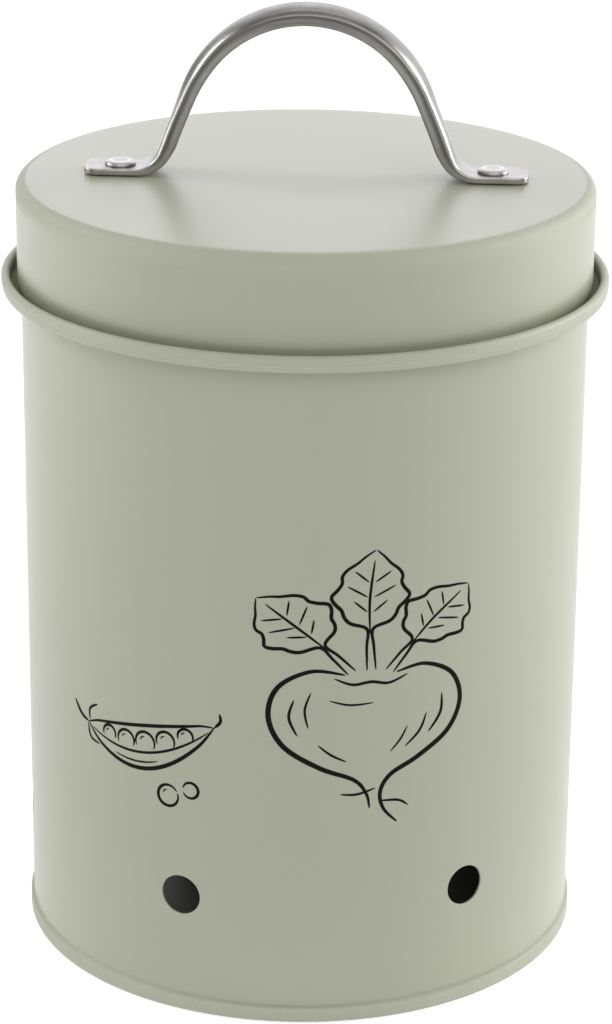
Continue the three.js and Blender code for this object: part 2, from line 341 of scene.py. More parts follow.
def print_tree():
    """Pen lines of a flat drawing, swept with a thin domed section and wrapped round the wall."""
    tree = geometry_tree("wrapped_print", {
        "Wall radius": length(WALL_RADIUS),
        "Centre angle": (FLOAT, 0.0),
        "Centre height": length(70),
        "Step": length(0.5),
        "Doming": (FLOAT, 0.07),
        "Tapering": (FLOAT, 0.45),
    })
    drawn = tree.add("GeometryNodeMeshToCurve", {"Mesh": tree.given["Geometry"]})["Curve"]
    rounded = tree.add("GeometryNodeCurveSplineType", {"Curve": drawn}, spline_type="CATMULL_ROM")["Curve"]
    even = tree.add(
        "GeometryNodeResampleCurve", {"Curve": rounded, "Length": tree.given["Step"]}, mode="LENGTH"
    )["Curve"]

    # A pen line swells from its pointed ends to its middle
    along = tree.add("GeometryNodeSplineParameter", {})["Factor"]
    swell = tree.math("SINE", tree.math("MULTIPLY", along, math.pi))
    soft = tree.math("POWER", swell, tree.given["Tapering"])
    full = tree.math("MULTIPLY_ADD", soft, 1 - PEN_POINT, PEN_POINT)
    nib = tree.add("GeometryNodeInputNamedAttribute", {"Name": "nib"}, data_type="FLOAT")["Attribute"]
    circle = {"Resolution": PEN_SIDES, "Radius": 1.0}
    section = tree.add("GeometryNodeCurvePrimitiveCircle", circle)["Curve"]
    swept = tree.add("GeometryNodeCurveToMesh", {
        "Curve": even,
        "Profile Curve": section,
        "Scale": tree.math("MULTIPLY", full, nib),
        "Fill Caps": True,
    })["Mesh"]

    # The drawing's X goes round the wall and its Y up it
    place = tree.add("GeometryNodeInputPosition", {})["Position"]
    flat = tree.add("ShaderNodeSeparateXYZ", {"Vector": place})
    radius = tree.given["Wall radius"]
    angle = tree.math("ADD", tree.math("DIVIDE", flat["X"], radius), tree.given["Centre angle"])
    reach = tree.math("MULTIPLY_ADD", flat["Z"], tree.given["Doming"], radius)
    inward = tree.math("MULTIPLY", reach, -1.0)
    spot = tree.combined(
        X=tree.math("MULTIPLY", reach, tree.math("SINE", angle)),
        Y=tree.math("MULTIPLY", inward, tree.math("COSINE", angle)),
        Z=tree.math("ADD", flat["Y"], tree.given["Centre height"]),
    )
    return finish_tree(tree, tree.shaped("SetPosition", swept, {"Position": spot}))


# Meshes

def outward(mesh):
    """A closed mesh with its faces turned outward, from the sign of its volume."""
    mesh.calc_loop_triangles()
    spots = [v.co for v in mesh.vertices]
    corners = (triangle.vertices for triangle in mesh.loop_triangles)
    if sum(spots[a].dot(spots[b].cross(spots[c])) for a, b, c in corners) < 0:
        mesh.flip_normals()
    return mesh


def placed(data, name):
    """A mesh, a light or a camera as an object in the scene."""
    thing = bpy.data.objects.new(name, data)
    bpy.context.scene.collection.objects.link(thing)
    return thing


def made_by(tree, source, name, **inputs):
    """The mesh that a tree makes from a source mesh with the given inputs, as a plain object."""
    carrier = placed(source, name + "_source")
    modifier = carrier.modifiers.new("make", "NODES")
    modifier.node_group = tree
    values = spaced(inputs)
    for item in tree.interface.items_tree:
        if item.item_type == "SOCKET" and item.in_out == "INPUT" and item.name in values:
            modifier[item.identifier] = values[item.name]
    graph = bpy.context.evaluated_depsgraph_get()
    mesh = bpy.data.meshes.new_from_object(
        carrier.evaluated_get(graph), preserve_all_data_layers=True, depsgraph=graph
    )
    bpy.data.objects.remove(carrier)
    mesh.name = name
    return placed(outward(mesh), name)


def mesh_of(name, points, edges=(), faces=(), measure="worn_and_lit"):
    """A mesh from points of x, y and z in millimetres and a measure, which becomes their attribute."""
    mesh = bpy.data.meshes.new(name)
    mesh.from_pydata([Vector(point[:3]) * MM for point in points], edges, faces)
    mesh.attributes.new(measure, "FLOAT", "POINT").data.foreach_set("value", [point[3] for point in points])
    mesh.update()
    return mesh


def chain(count, first=0):
    """The edges that join points one after the other."""
    return [(i, i + 1) for i in range(first, first + count - 1)]


def loft_faces(rows, count):
    """Faces that join rows of a closed section into a bar, with a cap on each end."""
    faces = []
    for r in range(rows - 1):
        for i in range(count):
            a, b = r * count + i, r * count + (i + 1) % count
            faces.append((a, b, b + count, a + count))
    last = (rows - 1) * count
    return [*faces, tuple(range(count)), tuple(reversed(range(last, last + count)))]


def quarter(steps):
    """The angles of a quarter turn in even steps."""
    return [math.radians(90 * i / steps) for i in range(steps + 1)]


# Sheet profiles

class SheetLine:
    """The middle line of a bent sheet in the plane of radius and height, drawn run by run. A turn is in
    degrees, to the left where it is positive. Above zero a bend's mark is how far its coat is rubbing
    through, which on the rim face and the base band is partly painted highlight; below zero it is painted
    shade."""

    def __init__(self, radius, height, heading):
        self.place = Vector((radius, height))
        self.heading = math.radians(heading)
        self.stations = []
        self.note(0)

    def across(self):
        """The direction to the left of the heading."""
        return Vector((-math.sin(self.heading), math.cos(self.heading)))

    def note(self, wear_and_light):
        self.stations.append((self.place.copy(), self.across(), wear_and_light))

    def run(self, distance, wear_and_light=0):
        self.place += distance * Vector((math.cos(self.heading), math.sin(self.heading)))
        self.note(wear_and_light)
        return self

    def turn(self, radius, angle, wear_and_light=0):
        steps = max(3, math.ceil(abs(angle) / BEND_STEP))
        side = math.copysign(1, angle)
        centre = self.place + side * radius * self.across()
        for _ in range(steps):
            self.heading += math.radians(angle) / steps
            self.place = centre - side * radius * self.across()
            self.note(wear_and_light)
        return self

    def outline(self, sheet):
        """Both faces of the sheet as one outline of radius, height and wear."""
        left = [(*(place + normal * sheet / 2), wear_and_light) for place, normal, wear_and_light in self.stations]
        right = [(*(place - normal * sheet / 2), wear_and_light) for place, normal, wear_and_light in self.stations]
        return left + right[::-1]


def profile_mesh(name, outline):
    """A profile for the turning tree. It closes on itself unless it starts and ends on the axis."""
    edges = chain(len(outline))
    if outline[0][0] > 0:
        edges.append((len(outline) - 1, 0))
    return mesh_of(name, [(radius, height, 0, wear_and_light) for radius, height, wear_and_light in outline], edges)


def wall_outline():
    middle = WALL_RADIUS - WALL_SHEET / 2
    floor = GUTTER_FLOOR - WALL_SHEET / 2
    lip = LIP_INNER + WALL_SHEET / 2
    over = (RIM_LIP_WIDTH - WALL_SHEET) / 2
    rise_top = RIM_TOP - WALL_SHEET / 2 - over
    tuck = math.radians(RIM_TUCK_ANGLE)
    tuck_drop = RIM_TUCK_RADIUS * math.sin(tuck) + WALL_SHEET / 2 * math.cos(tuck)
    face_drop = (RIM_FACE_BEND + RIM_FACE_COVE) * math.sin(math.radians(RIM_FACE_ANGLE))
    return (
        SheetLine(middle, WALL_FOOT, 90)
        .run(floor - GUTTER_COVE - WALL_FOOT)
        # Painted shade: the gutter's marks below zero darken its coat
        .turn(GUTTER_COVE, -90, wear_and_light=-1)
        .run(lip - GUTTER_CORNER - middle - GUTTER_COVE, wear_and_light=-1)
        .turn(GUTTER_CORNER, 90, wear_and_light=-1)
        .run(rise_top - floor - GUTTER_CORNER)
        .turn(over, -180, wear_and_light=0.9)
        .run(RIM_FACE, wear_and_light=0.6)
        # Painted highlights: the high marks on the rim face's bend and its lower band lighten the coat
        .turn(RIM_FACE_BEND, -RIM_FACE_ANGLE, wear_and_light=2.2)
        .turn(RIM_FACE_COVE, RIM_FACE_ANGLE)
        .run(rise_top - (RIM_TOP - RIM_LIP_DROP) - tuck_drop - RIM_FACE - face_drop, wear_and_light=0.3)
        .turn(RIM_TUCK_RADIUS, -RIM_TUCK_ANGLE, wear_and_light=0.7)
        .outline(WALL_SHEET)
    )


def base_outline():
    inner = BASE_WALL - BASE_SHEET / 2
    outer = BASE_RADIUS - BASE_SHEET / 2
    low = BASE_SHEET / 2
    disc = BASE_RECESS + BASE_SHEET / 2
    closing = math.radians(BASE_CLOSE_ANGLE)
    closing_bend = (BASE_CLOSE_RADIUS + BASE_SHEET / 2) * math.sin(closing)
    closing_height = closing_bend + BASE_CLOSE_RUN * math.cos(closing)
    return (
        SheetLine(0, disc, 0)
        .run(inner - BASE_DISH)
        .turn(BASE_DISH, -90)
        .run(disc - BASE_DISH - low - BASE_FOLD)
        .turn(BASE_FOLD, 90, wear_and_light=1)
        .run(outer - inner - 2 * BASE_FOLD, wear_and_light=1)
        .turn(BASE_FOLD, 90, wear_and_light=1)
        # Painted highlight: the band's high mark lightens its coat, and roughens it
        .run(BASE_BAND - low - BASE_FOLD - closing_height, wear_and_light=3)
        .turn(BASE_CLOSE_RADIUS, BASE_CLOSE_ANGLE, wear_and_light=1)
        .run(BASE_CLOSE_RUN, wear_and_light=0.6)
        .outline(BASE_SHEET)
    )


def collar_outline():
    middle = NECK_RADIUS - NECK_SHEET / 2
    fold = NECK_TOP - NECK_SHEET / 2 - NECK_FOLD
    return (
        SheetLine(middle, NECK_LOW, 90)
        .run(fold - NECK_LOW)
        .turn(NECK_FOLD, 180, wear_and_light=1)
        .run(NECK_FOLD_DEPTH - NECK_FOLD - NECK_SHEET / 2)
        .outline(NECK_SHEET)
    )


def lid_outline():
    """The lid's sheet. A short run on each side of the shoulder keeps the shoulder's mark to the bend."""
    middle = LID_RADIUS - LID_SHEET / 2
    top = LID_TOP - LID_SHEET / 2
    fold = LID_FOOT + LID_SHEET / 2 + LID_FOLD
    return (
        SheetLine(0, top, 0)
        .run(middle - 2 * LID_SHOULDER)
        .run(LID_SHOULDER)
        .turn(LID_SHOULDER, -90, wear_and_light=1.2)
        .run(LID_SHOULDER)
        .run(top - 2 * LID_SHOULDER - fold)
        .turn(LID_FOLD, -180, wear_and_light=1)
        .run(LID_FOLD_HEIGHT - LID_FOLD - LID_SHEET / 2)
        .outline(LID_SHEET)
    )


def rivet_outline():
    """The rivet from the middle of its head to the middle of its set tail."""
    head_low = STRAP_SEAT + STRAP_SHEET + RIVET_SEAT_GAP
    top = head_low + RIVET_HEAD_HEIGHT
    flat, rim = RIVET_FLAT / 2, RIVET_HEAD / 2
    tail_top = LID_TOP - LID_SHEET - RIVET_GAP
    tail_low = tail_top - RIVET_TAIL_HEIGHT
    shank, tail = RIVET_SHANK / 2, RIVET_TAIL / 2
    points = [(0, top - RIVET_DISH, 0), (flat * 0.86, top - RIVET_DISH, 0), (flat * 0.97, top, 1)]
    for i, angle in enumerate(quarter(10)):
        radius = flat + (rim - flat) * math.sin(angle)
        height = head_low + RIVET_RIM + (RIVET_HEAD_HEIGHT - RIVET_RIM) * math.cos(angle)
        points.append((radius, height, 1 if i < 3 else 0.3))
    points += [
        (rim, head_low + RIVET_EDGE, 0.6),
        (rim - RIVET_EDGE, head_low, 0.2),
        (shank, head_low, 0),
        (shank, tail_top, 0),
        (tail, tail_top, 0.5),
        (tail - 0.1, tail_low + RIVET_TAIL_EDGE, 1),
        (tail * 0.8, tail_low, 1),
        (shank * 0.7, tail_low + 0.02, 1),
        (shank * 0.6, tail_low + RIVET_TAIL_EDGE, 0),
        (0, tail_low + 0.3, 0),
    ]
    return points


# Wall panel

def with_rows(outline, heights):
    """Rows are put in where an upright face of the outline crosses the given heights."""
    rows = []
    for index, point in enumerate(outline):
        rows.append(point)
        radius, low, wear_and_light = point
        following = outline[(index + 1) % len(outline)]
        if abs(following[0] - radius) > SAME_FACE:
            continue
        crossed = [z for z in heights if min(low, following[1]) < z < max(low, following[1])]
        crossed.sort(reverse=following[1] < low)
        rows += [(radius, z, wear_and_light) for z in crossed]
    return rows


def wall_panel():
    """A panel of the wall, one vent wide and centred on -Y. The grid leaves a square free on both faces,
    and rings of points join each square to the vent's round edge and through the sheet."""
    columns = STEPS_ROUND // VENT_COUNT
    pitch = math.tau / STEPS_ROUND
    row_step = WALL_RADIUS * pitch
    reach = PATCH_COLUMNS // 2
    heights = [VENT_HEIGHT + k * row_step for k in range(-reach, reach + 1)]
    rows = with_rows(wall_outline(), heights)
    points = []

    def point(radius, angle, height, wear_and_light):
        points.append((radius * math.sin(angle), -radius * math.cos(angle), height, wear_and_light))
        return len(points) - 1

    grid = {}
    for r, (radius, height, wear_and_light) in enumerate(rows):
        for c in range(columns + 1):
            grid[r, c] = point(radius, (c - columns / 2) * pitch, height, wear_and_light)

    def row_at(face, height):
        """The row at a height, on the face of the sheet that has the given radius."""
        return next(
            r for r, (radius, z, _) in enumerate(rows)
            if abs(radius - face) < SAME_FACE and abs(z - height) < SAME_ROW
        )

    inside = WALL_RADIUS - WALL_SHEET
    outer, inner = ([row_at(face, z) for z in heights] for face in (WALL_RADIUS, inside))
    free = {
        (r, c)
        for face in (outer, inner)
        for r in range(min(face), max(face))
        for c in range(columns // 2 - reach, columns // 2 + reach)
    }
    faces = []
    for r in range(len(rows)):
        below = (r + 1) % len(rows)
        for c in range(columns):
            if (r, c) not in free:
                faces.append((grid[r, c], grid[r, c + 1], grid[below, c + 1], grid[below, c]))

    # The squares' edges, walked round from the side that faces +X
    side = range(-reach, reach)
    border = [(reach, k) for k in side] + [(-k, reach) for k in side]
    border += [(-c, -k) for c, k in border]
    border = border[reach:] + border[:reach]
    count = len(border)
    vent = VENT_DIAMETER / 2

    def ring(radius, edge, share=0, wear_and_light=0):
        """A loop at the given radius, that share of the way from the vent's edge to the square."""
        loop = []
        for m, (c, k) in enumerate(border):
            angle = math.tau * m / count
            x = (1 - share) * edge * math.cos(angle) + share * c * row_step
            z = (1 - share) * edge * math.sin(angle) + share * k * row_step
            loop.append(point(radius, x / WALL_RADIUS, VENT_HEIGHT + z, wear_and_light))
        loops.append(loop)

    def square(face):
        loops.append([grid[face[k + reach], columns // 2 + c] for c, k in border])

    loops = []
    square(outer)
    for share in VENT_RINGS:
        ring(WALL_RADIUS, vent + VENT_EDGE, share)
    for angle in quarter(4):
        back = VENT_EDGE * (1 - math.cos(angle))
        ring(WALL_RADIUS - back, vent + VENT_EDGE * (1 - math.sin(angle)), wear_and_light=1)
    for angle in reversed(quarter(4)):
        back = VENT_EDGE * (1 - math.cos(angle))
        ring(inside + back, vent + VENT_EDGE * (1 - math.sin(angle)), wear_and_light=0.5)
    for share in reversed(VENT_RINGS):
        ring(inside, vent + VENT_EDGE, share)
    square(inner)
    for first, second in zip(loops, loops[1:]):
        for m in range(count):
            n = (m + 1) % count
            faces.append((first[m], first[n], second[n], second[m]))
    return mesh_of("wall_panel", points, faces=faces)


def wall_seam():
    """The lapped side seam of the rolled wall, at the back, between the base band and the gutter. It is
    half as proud at its two ends."""
    half, step = SEAM_WIDTH / 2, SEAM_STEP
    section = [(-half, SEAM_SINK, 0), (-half, 0.12, 0), (-half + 0.08, 0.24, 0), (-half + 0.22, 0.32, 0.8)]
    section.append((-half + 0.45, step, 0))
    section += [(half * k / 4, step, 0) for k in range(-3, 3)]
    section += [(half - 1.1, step * 0.97, 0.8), (half - 0.6, step * 0.7, 0), (half - 0.25, step * 0.25, 0)]
    section.append((half, SEAM_SINK, 0))
    rows = ((SEAM_LOW, 0.5), (SEAM_LOW + SEAM_END, 1), (SEAM_HIGH - SEAM_END, 1), (SEAM_HIGH, 0.5))
    points = []
    for height, share in rows:
        for across, proud, wear_and_light in section:
            radius = WALL_RADIUS + proud * share
            angle = across / WALL_RADIUS
            points.append((radius * math.sin(angle), radius * math.cos(angle), height, wear_and_light))
    return mesh_of("wall_seam", points, faces=loft_faces(len(rows), len(section)))


# Strap handle

def strap_line():
    """The line that the strap's upper face follows from its right end to its left, as places in X and Z,
    with the corners where the foot ends and the arch starts kept exact."""
    lean = math.radians(LEG_LEAN)
    foot_top = STRAP_SEAT + STRAP_SHEET
    arch_z = HANDLE_TOP - ARCH_RADIUS
    leg_top = Vector((ARCH_RADIUS * math.cos(lean), arch_z + ARCH_RADIUS * math.sin(lean)))
    leg_low = leg_top.x + (leg_top.y - foot_top) * math.tan(lean)
    turn = math.pi / 2 - lean
    bend_x = leg_low + BEND_RADIUS * math.tan(turn / 2)
    bend_z = foot_top + BEND_RADIUS

    def around(x, z, radius, angle):
        return Vector((x + radius * math.cos(angle), z + radius * math.sin(angle)))

    points = [Vector((bend_x + FOOT_LENGTH, foot_top)), Vector((bend_x, foot_top))]
    for i in range(1, BEND_STEPS + 1):
        points.append(around(bend_x, bend_z, -BEND_RADIUS, math.pi / 2 - i / BEND_STEPS * turn))
    for i in range(ARCH_STEPS + 1):
        points.append(around(0, arch_z, ARCH_RADIUS, lean + i / ARCH_STEPS * turn))
    points += [Vector((-p.x, p.y)) for p in reversed(points[:-1])]
    return points, bend_x


def strap_section(fold, domed, leg, inset, lower):
    """The section of the strap as sideways place, depth under the upper face, and a mark of polish and
    painted light. Fold is how much of the folded edges is there, domed how much of the crown, and leg how far
    down the arch it is, from 0 at the top to 1 on the legs. Inset draws the sides in, and lower thins it
    towards the rounded end."""
    half = STRAP_WIDTH / 2 - inset
    crown = ARCH_CROWN * domed
    depth = STRAP_SHEET + (ARCH_DEPTH - STRAP_SHEET) * fold + ARCH_SWELL * domed
    edge = FOOT_EDGE + (ARCH_EDGE - FOOT_EDGE) * fold
    hollow = min(STRAP_WIDTH / 2 - STRAP_SHEET, half * 0.8)
    arched = crown * (hollow / half) ** 2
    corner = min(STRAP_SHEET + arched, depth)
    cove = min(STRAP_COVE, (depth - corner) / 2)

    # From the middle of the hollow outward, down its wall and round the lower edge of the flange
    right = [(hollow * k / 3, corner - arched * (1 - (k / 3) ** 2), 0) for k in range(1, 3)]
    for angle in quarter(3):
        right.append((hollow - cove * (1 - math.sin(angle)), corner + cove * (1 - math.cos(angle)), 0))
    for angle in quarter(3):
        across = hollow + STRAP_LIP * (1 - math.cos(angle)) * fold
        right.append((across, depth - cove * (1 - math.sin(angle)), 0.1))
    for angle in quarter(3):
        across = half - STRAP_LIP * (1 - math.sin(angle))
        right.append((across, depth - STRAP_LIP * (1 - math.cos(angle)), 0.2))

    # Up the flange, round the upper edge and over the crown. Painted highlights run along the legs' rounded
    # edges, the middle of their flanges and the crown, and painted shade darkens the crease where the
    # rounding meets the flange, and the top of the arch there
    leg_polish_and_highlight = max(0, 2 * leg - 1)
    arch_top_shade = domed * (1 - leg)
    tilt = math.atan(2 * crown / (half - 0.8 * edge))
    reach = half - edge * (1 - math.sin(tilt))
    centre = crown + edge * math.cos(tilt)
    flat = depth - STRAP_LIP - centre
    for share in (0.75, 0.5, 0.25):
        flange_highlight = FLANGE_PAINTED_HIGHLIGHT * leg * math.sin(math.pi * (share - 0.25) / 0.75)
        right.append((half, centre + flat * share, flange_highlight - FLANGE_PAINTED_SHADE * arch_top_shade))
    shoulder = leg_polish_and_highlight - SHOULDER_PAINTED_SHADE * arch_top_shade
    for i in range(0, 11):
        angle = (math.pi / 2 - tilt) * i / 10
        edge_shift = min(shoulder, max(CREASE_PAINTED_SHADE, 6 * (angle - 0.28)))
        right.append((half - edge * (1 - math.cos(angle)), centre - edge * math.sin(angle), edge_shift))
    for k in range(1, 10):
        share = 1 - k / 10
        edge_shift = max(0.4 - 0.3 * leg, leg_polish_and_highlight * (4 * share - 3))
        right.append((reach * share, crown * share ** 2, edge_shift))
    loop = [(0, corner - arched, 0), *right, (0, 0, 0)]
    loop += [(-across, below, wear_and_light) for across, below, wear_and_light in reversed(right)]
    if lower:
        middle = STRAP_SHEET / 2
        squeeze = 1 - 2 * lower / STRAP_SHEET
        drawn = (half - lower) / half
        loop = [(a * drawn, middle + (b - middle) * squeeze, w) for a, b, w in loop]
    return loop


def end_inset(at):
    """How far the foot's rounded corner draws the side in, at a distance from the strap's end."""
    if at >= FOOT_CORNER:
        return 0
    return FOOT_CORNER - math.sqrt(FOOT_CORNER ** 2 - (FOOT_CORNER - at) ** 2)


def eased(share):
    """A share held between 0 and 1, with a smooth start and end."""
    share = min(1, max(0, share))
    return share * share * (3 - 2 * share)


def strap_blank(line):
    """The strap laid out straight, with its folded edges, for the bending tree."""
    whole = sum((second - first).length for first, second in zip(line, line[1:]))

    # Rows of distance from the end, inset and thinning, up to the middle and back
    rows = []
    for angle in quarter(3)[:3]:
        at = FOOT_EDGE * (1 - math.cos(angle))
        rows.append((at, end_inset(at), FOOT_EDGE * (1 - math.sin(angle))))
    for angle in quarter(12):
        at = FOOT_EDGE + (FOOT_CORNER - FOOT_EDGE) * (1 - math.cos(angle))
        rows.append((at, end_inset(at), 0))
    at = FOOT_CORNER
    while at + ROW_STEP < whole / 2:
        at += ROW_STEP
        rows.append((at, 0, 0))
    rows.append((whole / 2, 0, 0))
    rows += [(whole - at, inset, lower) for at, inset, lower in reversed(rows[:-1])]
    points = []
    for at, inset, lower in rows:
        from_foot = min(at, whole - at) - FOOT_LENGTH
        fold = eased(from_foot / FOLD_FADE)
        domed = eased((from_foot - FOLD_FADE) / CROWN_FADE)
        leg = min(1, abs(at - whole / 2) / ARCH_RADIUS)
        for across, below, wear_and_light in strap_section(fold, domed, leg, inset, lower):
            # The feet take polish and painted highlight
            points.append((across, at, -below, fold * wear_and_light + FOOT_POLISH_AND_HIGHLIGHT * (1 - fold)))
    mesh = mesh_of("strap_blank", points, faces=loft_faces(len(rows), len(points) // len(rows)))
    flat = mesh.attributes.new("strap_place", "FLOAT_VECTOR", "POINT")
    flat.data.foreach_set("vector", [value for point in points for value in point[:3]])
    return mesh


# Printed drawing

def root_drawing():
    """A root with its tail and leaves, in pen lines of places and a half width. The middle of the root is
    the origin."""
    pen = 0.47
    lines = [
        ([(4.5, 10.2), (9.5, 11.2), (14.6, 7.8), (16.4, 1.2), (14.2, -5.6), (8.6, -10.8), (3.8, -14.2),
          (2.0, -18.2), (2.6, -22.4), (5.0, -26.0)], pen),
        ([(-4.2, 10.4), (-9.8, 11.4), (-15.2, 7.6), (-16.8, 0.6), (-14.4, -6.4), (-8.4, -11.6), (-2.6, -14.8),
          (-0.4, -18.4), (0.2, -22.0)], pen),
        ([(-6.0, 9.6), (-3.0, 8.0), (0.2, 8.4), (3.2, 7.8), (6.4, 9.4)], 0.28),
        ([(1.2, -17.2), (-2.0, -18.4), (-4.8, -18.2)], 0.24),
        ([(1.8, -20.4), (5.2, -20.8), (7.0, -22.4)], 0.24),
        ([(-12.6, 4.6), (-13.4, 0.4), (-12.0, -4.0)], 0.26),
        ([(-9.8, 6.4), (-10.8, 2.2), (-10.2, -2.2)], 0.22),
        ([(12.8, 3.4), (12.6, -1.2), (10.4, -5.4)], 0.28),
        ([(10.0, -0.6), (8.8, -4.6), (6.2, -8.0)], 0.24),
        ([(6.6, -3.0), (5.4, -6.0), (3.6, -8.8)], 0.2),
        ([(-8.6, -6.2), (-6.4, -8.6), (-3.8, -10.4)], 0.22),
        ([(-6.8, 4.4), (-3.4, 3.2), (0.6, 3.4)], 0.2),
    ]
    for base, lean, bend, size, width in (
        ((-2.8, 10.4), 34, 16, 24.0, 6.6),
        ((0.2, 10.6), 4, -10, 28.5, 6.0),
        ((3.0, 10.2), -30, -18, 23.0, 6.2),
    ):
        lines += leaf(base, lean, bend, size, width)
    return [
        ([(ROOT_STRETCH * x, ROOT_SQUASH * y) for x, y in places], ROOT_STRETCH * half)
        for places, half in lines
    ]


def leaf(base, lean, bend, size, width):
    """A wavy leaf on its stalk. Lean and bend are in degrees to the left of upright."""
    def rib(t):
        angle = math.radians(lean + bend * t / 2)
        return Vector(base) + size * t * Vector((-math.sin(angle), math.cos(angle)))

    def side(t, offset):
        ahead = rib(t + 0.01) - rib(t - 0.01)
        across = Vector((-ahead.y, ahead.x)).normalized()
        return tuple(rib(t) + offset * across)

    stalk = 0.36
    def half(t):
        u = (t - stalk) / (1 - stalk)
        return width * math.sin(math.pi * u ** 0.8) ** 0.8 * (1 + 0.1 * math.sin(5 * math.tau * u / 1.6))

    lines = []
    steps = [stalk + (1 - stalk) * k / 12 for k in range(13)]
    for way in (-1, 1):
        outline = [side(0.02, way * 0.75), side(stalk * 0.6, way * 0.6)]
        outline += [side(t, way * max(half(min(t, 0.999)), 0.5 if t < 0.6 else 0)) for t in steps]
        lines.append((outline, 0.33))
    lines.append(([side(stalk * 0.9, 0), side(0.6, 0.2), side(0.92, 0)], 0.24))
    for t in (0.5, 0.62, 0.74):
        for way in (-1, 1):
            lines.append(([side(t, way * 0.5), side(t + 0.09, way * half(t) * 0.62)], 0.19))
    return lines


def pod_drawing():
    """An open pod with its peas and stalk, and two loose peas under it, about the middle of the pod."""
    def spine(t):
        return Vector((POD_LENGTH * (t - 0.5), POD_SAG * (t - 0.5) ** 2 + POD_TILT * (t - 0.5)))

    def edge(reach, first=0.0, last=1.0):
        """A line along the pod, set off from its spine by up to the given reach."""
        steps = [first + (last - first) * k / 12 for k in range(13)]
        return [tuple(spine(t) + Vector((0, reach * math.sin(math.pi * t) ** 0.7))) for t in steps]

    def from_end(t, *steps):
        return [tuple(spine(t) + Vector(step)) for step in steps]

    def ring(centre, size, first, last, turns=12):
        angles = [math.radians(first + (last - first) * k / turns) for k in range(turns + 1)]
        return [tuple(Vector(centre) + size * Vector((math.cos(a), math.sin(a)))) for a in angles]

    lines = [(edge(4.4), 0.4), (edge(-5.0), 0.46)]
    lines += [(edge(-1.5, 0.04, 0.96), 0.3), (edge(-3.6, 0.25, 0.6), 0.22)]
    for t, size in ((0.2, 1.7), (0.345, 2.1), (0.5, 2.3), (0.655, 2.1), (0.8, 1.7)):
        centre = spine(t) + Vector((0, 0.7))
        lines.append((ring(centre, size, -28, 208), 0.32))
        lines.append((ring(centre, size * 0.55, 95, 165, 4), 0.2))
    lines += [
        (from_end(0, (0, 0), (-2.4, 1.0), (-4.6, 3.6)), 0.42),
        (from_end(0, (0.4, 0.4), (0.4, 3.0), (2.8, 4.6)), 0.3),
        (from_end(0, (-0.2, -0.2), (0.6, -3.2), (3.4, -4.0)), 0.3),
        (from_end(1, (0, 0), (1.3, 1.5), (1.1, 3.2)), 0.36),
        (ring((5.4, -9.6), 2.3, 30, 382), 0.36),
        (ring((5.4, -9.6), 1.3, 100, 165, 4), 0.2),
        (ring((10.4, -7.6), 1.7, -160, 170), 0.34),
    ]
    return lines


def drawing_mesh(name, lines):
    """The pen lines as chains of points, each with the half width of its pen."""
    points, edges = [], []
    for places, half in lines:
        edges += chain(len(places), len(points))
        points += [(x, y, 0, half * MM) for x, y in places]
    return mesh_of(name, points, edges, measure="nib")


# Finishes

COAT_GREEN = (0.33, 0.342, 0.256, 1)
# Coat rubbing through at its edges, and painted highlight
COAT_RUBBED_AND_HIGHLIT = (0.46, 0.47, 0.4, 1)
# Painted shade in the gutter
COAT_GUTTER_SHADE = (0.24, 0.245, 0.185, 1)
STEEL_GREY = (0.22, 0.21, 0.195, 1)
# Polish and painted highlight of the strap
STEEL_POLISHED_AND_HIGHLIT = (0.78, 0.755, 0.715, 1)
# Painted shade of the strap's crease and arch top
STEEL_PAINTED_SHADE = (0.06, 0.057, 0.052, 1)
ALUMINIUM_GREY = (0.445, 0.426, 0.402, 1)
ALUMINIUM_POLISHED = (0.74, 0.715, 0.68, 1)
INK_BLACK = (0.005, 0.005, 0.004, 1)
INK_THIN = (0.03, 0.03, 0.025, 1)
FLOOR_WHITE = (0.86, 0.86, 0.86, 1)


def shader_group(name, inputs, output):
    return Group(name, "ShaderNodeTree", {**PLACE, **inputs}, {output: (FLOAT, None)})


def noise(tree, size, detail, roughness, place=None):
    """A noise over the group's place or another, with features of the given size in millimetres."""
    return tree.add("ShaderNodeTexNoise", {
        "Vector": place or tree.given["Place"],
        "Scale": tree.math("DIVIDE", 1.0, size),
        "Detail": detail,
        "Roughness": roughness,
    })["Fac"]


def grain_group():
    """Fine pimples of a sprayed or cast surface, as a height between 0 and 1."""
    tree = shader_group("fine_grain", {"Grain size": (FLOAT, 0.5)}, "Height")
    return tree.put_out(noise(tree, tree.given["Grain size"], detail=2.0, roughness=0.55))


def drift_group():
    """Slow patches that vary a tone or a gloss about zero."""
    tree = shader_group("tone_drift", {"Patch size": (FLOAT, 20.0), "Amount": (FLOAT, 0.05)}, "Shift")
    slow = noise(tree, tree.given["Patch size"], detail=3.0, roughness=0.5)
    centred = tree.math("SUBTRACT", slow, 0.5)
    return tree.put_out(tree.math("MULTIPLY", centred, tree.given["Amount"]))


def wear_and_light_group():
    """Where an edge is rubbing through or has light or shade painted on it: the edge's own measure, broken up
    by a fine noise.
    """
    tree = shader_group(
        "rubbed_edge",
        {"Edge": (FLOAT, 0.0), "Break up": (FLOAT, 3.0), "Amount": (FLOAT, 0.5)},
        "Mask",
    )
    patchy = tree.add("ShaderNodeMapRange", {
        "Value": noise(tree, tree.given["Break up"], detail=3.0, roughness=0.6),
        "From Min": 0.35, "From Max": 0.7, "To Min": 0.55, "To Max": 1.0,
    })["Result"]
    edge = tree.math("MULTIPLY", patchy, tree.given["Edge"])
    return tree.put_out(tree.math("MULTIPLY", edge, tree.given["Amount"], use_clamp=True))


